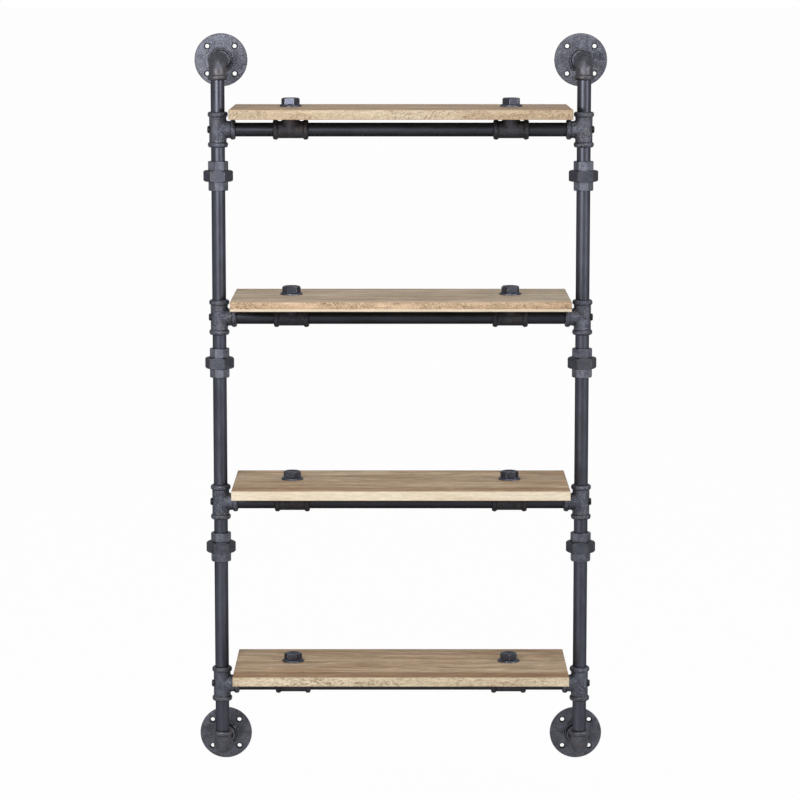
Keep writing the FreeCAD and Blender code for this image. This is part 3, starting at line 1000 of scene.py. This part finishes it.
def makeElbow():
    # Mouths to +Z and to the wall at +Y: one arm drawn down, spun round the bend, and the other drawn out
    body, bend, reach = armShape["body"], armShape["bend"], armShape["elbowReach"]
    rings = [(body, bend), (body, reach - armShape["collarLength"] - 0.3)] + collarRings(reach)
    elbow = startRing("elbowMaster", rings[-1], armShape["segments"])
    drawRings(rings[::-1])
    bpy.ops.mesh.spin(steps=elbowCast["spinSteps"], angle=-math.pi / 2, center=(0, bend * mm, bend * mm),
                      axis=(1, 0, 0))
    drawRings(rings, 1)
    finishShell()
    raisePartingLine(elbow, reach)
    for turn in ((0, 0, 0), (-90, 0, 0)):
        combine(elbow, turnPiece(socketTool(reach, elbowCast["socketDepth"]), *turn), "DIFFERENCE")
    smoothFaces(elbow, 40)
    return elbow


shelfTee = turnPiece(makeTee("shelfTeeMaster", False), 0, 90, 0)
sideTee = makeTee("sideTeeMaster", True)
elbow = makeElbow()

for sideName, side in sides.items():
    spots = atShelves(side * shelfTeeX, (0, 0, 0))
    placeSet("shelfTees", "shelf_tees_", sideName, shelfTee, spots, castShelfTeeShaded)
    spots = atShelves(side * uprightX, (0, 0, 0 if side > 0 else 180))
    placeSet("sideTees", "side_tees_", sideName, sideTee, spots, castSideTee)

for endName, height, turn in (("top", endHeight, (0, 180, 0)), ("bottom", -endHeight, (0, 0, 0))):
    placeSet("elbows", "elbows_", endName, elbow, atUprights(-standoff, height, turn), castElbow)
print("tees and elbows made")


flangeShape = {
    "radius": 41.0, "thickness": 5.0, "hub": 14.75, "hubHeight": 18.0, "bead": 18.6,
    "screwCircle": 30.0, "screwRadius": 3.3, "countersink": 1.7, "socket": 10.75,
}


def makeFlange():
    # Made along +Z from the wall, then turned to face the front
    radius, plate, hub = flangeShape["radius"], flangeShape["thickness"], flangeShape["hub"]
    bead, top, socket = flangeShape["bead"], flangeShape["hubHeight"], flangeShape["socket"]
    rings = [
        (socket, 0), (radius - 0.5, 0), (radius, 0.5), (radius, plate - 1.4),
        (radius - 0.25, plate - 0.6), (radius - 0.8, plate - 0.15), (radius - 1.6, plate),
        (bead + 8, plate + 0.1), (bead + 1.6, plate + 0.12), (bead + 1.1, plate + 0.75),
        (bead + 0.4, plate + 1.2), (bead - 0.4, plate + 1.2), (bead - 1.1, plate + 0.8),
        (bead - 1.6, plate + 0.4), (hub + 1.3, plate + 0.6), (hub + 0.5, plate + 1.5),
        (hub + 0.2, plate + 4), (hub, plate + 9), (hub, top - 1.2), (hub - 0.3, top - 0.5),
        (hub - 1.1, top), (socket + 1.1, top), (socket, top - 1.0), (socket, 0),
    ]
    flange = turnOutline("flangeMaster", rings, 96)
    hole, sink = flangeShape["screwRadius"], flangeShape["countersink"]
    screw = [
        (hole, -1), (hole, plate - sink + 0.1), (hole + sink, plate + 0.12), (hole + sink + 0.3, plate + 2),
    ]
    circle = flangeShape["screwCircle"] * mm
    for quarter in range(4):
        angle = math.pi / 4 + quarter * math.pi / 2
        tool = turnOutline("screwTool", screw, 48)
        movePiece(tool, (circle * math.cos(angle), circle * math.sin(angle), 0))
        combine(flange, tool, "DIFFERENCE")
    smoothFaces(flange, 40)
    return turnPiece(flange, 90, 0, 0)


flange = makeFlange()
for endName, height, finish in (("top", endHeight, castFlangeLitTop), ("bottom", -endHeight, castFlangeShadedBottom)):
    spots = atUprights(0, height, (0, 0, 0))
    placeSet("wallFlanges", "wall_flanges_", endName, flange, spots, finish)
print("wall flanges made")


unionShape = {
    "sides": 8, "halfFlats": 14.75, "flatsLength": 14.0, "rim": 17.46, "rimThickness": 3.5, "lip": 3.5,
    "lipRadius": 16.27, "nutSides": 6, "nutHalfFlats": 19.66, "nutHeight": 17.0, "nutBore": 17.77,
    "thread": 17.66, "socket": 10.75, "chamfer": 0.9, "nutChamfer": 1.5, "edge": 0.35,
}
nutFoot = unionShape["rimThickness"] + unionShape["lip"] - unionShape["nutHeight"]


def boreThrough(piece, low, high, radius=unionShape["socket"]):
    combine(piece, roundBar("boreTool", radius, low - 1, high + 1), "DIFFERENCE")


def makeUnionParts():
    # All three stand on the seat between the halves, at height 0
    shape = unionShape
    upperTop = shape["rimThickness"] + shape["lip"] + shape["flatsLength"]
    upper = flatBar("unionUpperMaster", shape["sides"], shape["halfFlats"], upperTop, shape["chamfer"])
    combine(upper, roundBar("rim", shape["rim"], 0, shape["rimThickness"]), "UNION")
    boreThrough(upper, 0, upperTop)
    finishMaster(upper, shape["edge"])

    nutFlats = (shape["nutSides"], shape["nutHalfFlats"], shape["nutHeight"], shape["nutChamfer"])
    nut = flatBar("unionNutMaster", *nutFlats, True)
    boreThrough(nut, 0, shape["nutHeight"], shape["lipRadius"])
    inside = roundBar("boreTool", shape["nutBore"], -1, shape["nutHeight"] - shape["lip"])
    combine(nut, inside, "DIFFERENCE")
    finishMaster(nut, shape["edge"])
    movePiece(nut, (0, 0, nutFoot * mm))

    lowerFlats = (shape["sides"], shape["halfFlats"], shape["flatsLength"], shape["chamfer"])
    lower = turnPiece(flatBar("unionLowerMaster", *lowerFlats), 180, 0, 0)
    movePiece(lower, (0, 0, nutFoot * mm))
    combine(lower, roundBar("thread", shape["thread"], nutFoot, 0), "UNION")
    boreThrough(lower, nutFoot - shape["flatsLength"], 0)
    finishMaster(lower, shape["edge"])
    return upper, nut, lower


# How far each part of the three unions of a side was turned when it was tightened, from the top down
unionTurns = {
    "left": {"upper": (12, 0, -6), "nut": (0, -8, 5), "lower": (7, 0, 10)},
    "right": {"upper": (-9, 5, 14), "nut": (4, 9, -3), "lower": (0, -12, 3)},
}

upper, nut, lower = makeUnionParts()
unionParts = {"upper": (upper, forgedUnion), "nut": (nut, forgedNut), "lower": (lower, forgedUnion)}
for sideName, side in sides.items():
    seats = [(side * uprightX, -standoff, height - fit["unionSeat"] * mm) for height in railHeights[:-1]]
    for part, (master, finish) in unionParts.items():
        name = "union%ss" % part.capitalize()
        node = "union_nuts_" if part == "nut" else "union_%s_halves_" % part
        spots = [(seat, (0, 0, turn)) for seat, turn in zip(seats, unionTurns[sideName][part])]
        placeSet(name, node, sideName, master, spots, finish)
print("unions made")


plugShape = {
    "thread": 10.65, "threadEnd": 21.0, "flange": 16.95, "halfFlats": 12.25, "head": 13.4, "chamfer": 1.6,
    "dish": 8.4, "dishDepth": 0.9, "edge": 0.4,
}


def makePlug():
    # Its flange lies on the board at height 0
    shape = plugShape
    rim, waist = shape["flange"], shape["halfFlats"]
    rings = [
        (shape["thread"] - 1, -shape["threadEnd"]), (shape["thread"], 1 - shape["threadEnd"]),
        (shape["thread"], 0), (rim - 0.35, 0), (rim, 0.35), (rim, 1.3), (rim - 0.45, 2.2),
        (rim - 1.05, 3.0), (rim - 1.9, 3.5), (waist + 1.2, 3.9), (waist - 0.3, 4.2), (waist - 1.5, 5.5),
    ]
    plug = turnOutline("plugMaster", rings, 96)
    head = flatBar("head", 6, shape["halfFlats"], shape["head"], shape["chamfer"])
    combine(plug, head, "UNION")
    dish = [(shape["dish"] - 1.2, shape["head"] - shape["dishDepth"]), (shape["dish"], shape["head"] + 0.02)]
    combine(plug, turnOutline("dishTool", dish + [(shape["dish"], shape["head"] + 2)]), "DIFFERENCE")
    finishMaster(plug, shape["edge"], 3)
    return plug


boltShape = {
    "head": 5.5, "height": 3.3, "shank": 3.0, "length": 36.75, "key": 4.0, "keyDepth": 1.8, "seat": 12.75,
}


def makeBolt():
    # Its round head lies on the side tee's seat at height 0, with a hexagon key hole in it
    shape = boltShape
    head, height, shank, length = shape["head"], shape["height"], shape["shank"], shape["length"]
    rings = [
        (shank - 0.5, -length), (shank, 0.6 - length), (shank, 0),
        (head - 0.2, 0), (head, 0.2), (head, height - 1.5), (head - 0.25, height - 0.8),
        (head - 0.9, height - 0.2), (head - 1.6, height),
    ]
    bolt = turnOutline("boltMaster", rings, 48)
    key = flatBar("keyTool", 6, shape["key"] / 2, shape["keyDepth"] + 1, 0.05)
    movePiece(key, (0, 0, (height - shape["keyDepth"]) * mm))
    combine(bolt, key, "DIFFERENCE")
    smoothFaces(bolt, 40)
    return bolt


# How far each plug was turned when it was tightened, from the top shelf down
plugTurns = {"left": (-6, 5, -17, -9), "right": (17, 13, 6, -25)}

plug = makePlug()
bolt = makeBolt()
boardTops = [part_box("board_%d" % number)[1].z for number in shelves]
for sideName, side in sides.items():
    spots = [((side * shelfTeeX, -standoff, top), (0, 0, turn))
             for top, turn in zip(boardTops, plugTurns[sideName])]
    placeSet("shelfPlugs", "shelf_plugs_", sideName, plug, spots, plugFinish)
    spots = atShelves(side * (uprightX + boltShape["seat"] * mm), (0, 90 * side, 0))
    placeSet("sideBolts", "side_bolts_", sideName, bolt, spots, boltFinish)
for master in (shelfTee, sideTee, elbow, flange, upper, nut, lower, plug, bolt):
    bpy.data.objects.remove(master, do_unlink=True)
print("plugs and bolts made")
